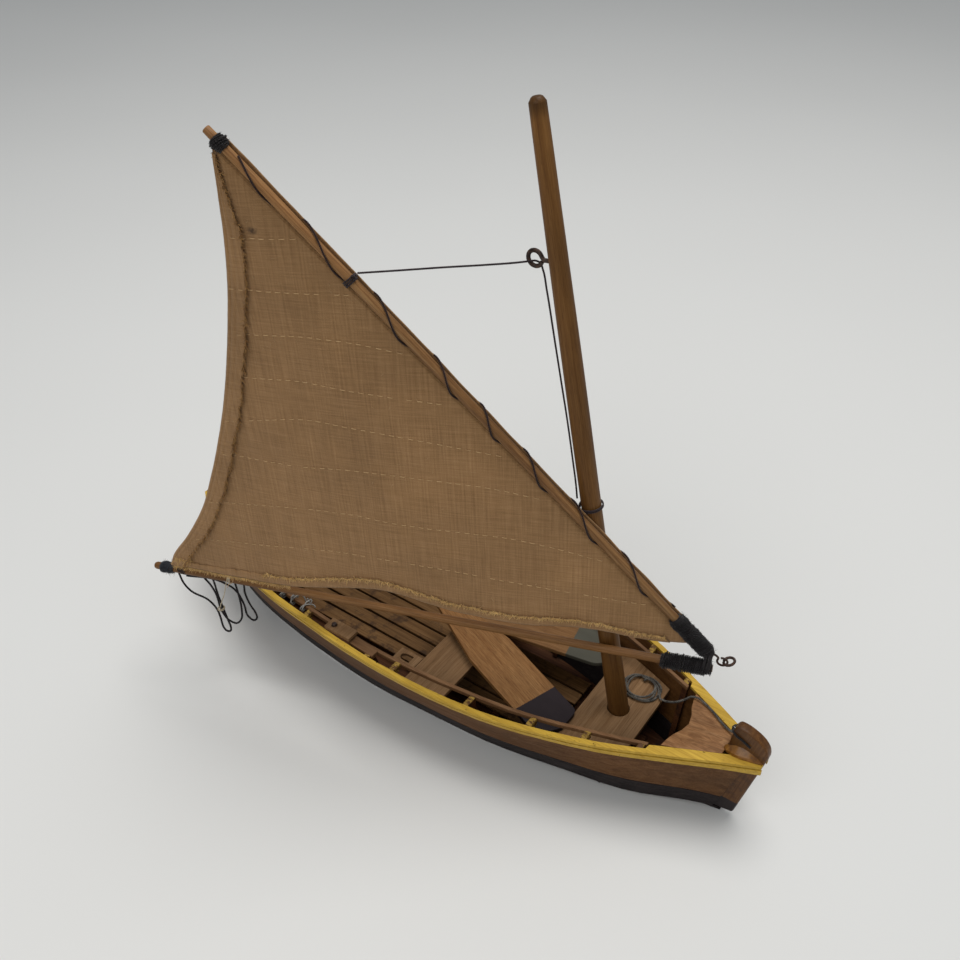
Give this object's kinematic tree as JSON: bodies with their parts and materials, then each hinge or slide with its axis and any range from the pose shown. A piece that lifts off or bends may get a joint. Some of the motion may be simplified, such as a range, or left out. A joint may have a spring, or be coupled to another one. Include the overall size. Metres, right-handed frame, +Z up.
{
  "type": "lateen sailing boat model",
  "caption": "Handmade wooden boat model with a raked mast, a laced lateen sail on yard and boom, painted gunwales, seats, stowed leeboards and cords.",
  "frame": {"origin": "underside of the keel, amidships on the centreline", "axes": "+X towards the bow, +Y towards port, +Z up"},
  "size_m": [0.334, 0.1359, 0.306],
  "materials": {
    "black_planking": "brushed near-black paint or tar on wood, matt",
    "brown_wood": "dark brown stain on wood, satin, worn",
    "yellow_paint": "hand-brushed mustard yellow paint on wood strips, satin, chipped",
    "pale_wood": "light wood, thinly stained, matt; the boards have dark painted tips",
    "deck_wood": "light wood, thin varnish with a mottled figure",
    "mast_wood": "honey-coloured varnished dowel",
    "spar_wood": "reddish brown varnished dowel",
    "iron": "bent iron wire, rust brown and black",
    "black_thread": "black twisted thread, matt",
    "linen": "coarse undyed linen, brown, matt",
    "grey_cord": "grey and black twisted cord, matt",
    "tan_cord": "thin tan cord, matt"
  },
  "bodies": {
    "hull": {"keel": "black_planking", "stem_post": "brown_wood", "transom": "brown_wood", "bottom_panel": "black_planking", "lower_plank_starboard": "black_planking", "upper_plank_starboard": "brown_wood", "rub_strake_starboard": "yellow_paint", "gunwale_cap_starboard": "yellow_paint", "inwale_starboard": "brown_wood", "rib_1_starboard": "brown_wood", "rib_2_starboard": "brown_wood", "rib_3_starboard": "brown_wood", "rib_4_starboard": "brown_wood", "rowlock_block_starboard": "brown_wood", "thwart_bracket_starboard": "pale_wood", "bilge_rest_starboard": "black_planking", "lower_plank_port": "black_planking", "upper_plank_port": "brown_wood", "rub_strake_port": "yellow_paint", "gunwale_cap_port": "yellow_paint", "inwale_port": "brown_wood", "rib_1_port": "brown_wood", "rib_2_port": "brown_wood", "rib_3_port": "brown_wood", "rib_4_port": "brown_wood", "rowlock_block_port": "brown_wood", "thwart_bracket_port": "pale_wood", "bilge_rest_port": "black_planking", "aft_thwart": "pale_wood", "middle_thwart": "pale_wood", "mast_thwart": "pale_wood", "mast_step": "brown_wood", "foredeck": "deck_wood", "floor_timber_1": "brown_wood", "floor_timber_2": "brown_wood", "floor_slat_1": "brown_wood", "floor_slat_2": "brown_wood", "floor_slat_3": "brown_wood", "floor_slat_4": "brown_wood", "floor_slat_5": "brown_wood", "painter_lead": "grey_cord", "painter_coil": "grey_cord"},
    "rig": {"mast": "mast_wood", "halyard_eye": "iron", "yard": "spar_wood", "tack_link": "iron", "peak_lashing": "black_thread", "yard_tack_lashing": "black_thread", "sail": "linen", "halyard": "grey_cord", "yard_lacing": "tan_cord"},
    "boom": {"boom": "spar_wood", "boom_tack_lashing": "black_thread", "clew_lashing": "black_thread", "sheet": "black_thread"},
    "tack_ring": {"tack_ring": "iron"},
    "leeboard_port": {"leeboard_port": "pale_wood"},
    "leeboard_starboard": {"leeboard_starboard": "pale_wood"},
    "thole_pin_starboard": {"thole_pin_starboard": "iron"},
    "thole_pin_port": {"thole_pin_port": "iron"}
  },
  "joints": [
    {"name": "mast_turn", "type": "hinge", "parent": "hull", "child": "rig", "pos_m": [0.096, 0, 0.0324], "axis": [-0.2019, 0, 0.9794], "range_deg": [-1, 40]},
    {"name": "boom_lift", "type": "hinge", "parent": "rig", "child": "boom", "pos_m": [0.1344, 0.0072, 0.07815], "axis": [-0.298, 0.9546, 0], "range_deg": [0, 8], "deforming": ["sail"]},
    {"name": "tack_ring_swing", "type": "hinge", "parent": "rig", "child": "tack_ring", "pos_m": [0.13453, 0.01059, 0.0797], "axis": [0.298, -0.9546, 0], "range_deg": [-35, 35]},
    {"name": "leeboard_port_tilt", "type": "hinge", "parent": "hull", "child": "leeboard_port", "pos_m": [0.08147, 0.02885, 0.0327], "axis": [-0.1822, 0.9833, 0], "range_deg": [0, 8]},
    {"name": "leeboard_starboard_tilt", "type": "hinge", "parent": "leeboard_port", "child": "leeboard_starboard", "pos_m": [0.08135, -0.02777, 0.03277], "axis": [0.33, 0.944, 0], "range_deg": [0, 8]},
    {"name": "thole_pin_starboard_lift", "type": "slide", "parent": "hull", "child": "thole_pin_starboard", "axis": [0, 0, 1], "range_m": [0, 0.005]},
    {"name": "thole_pin_port_lift", "type": "slide", "parent": "hull", "child": "thole_pin_port", "axis": [0, 0, 1], "range_m": [0, 0.005]}
  ]
}
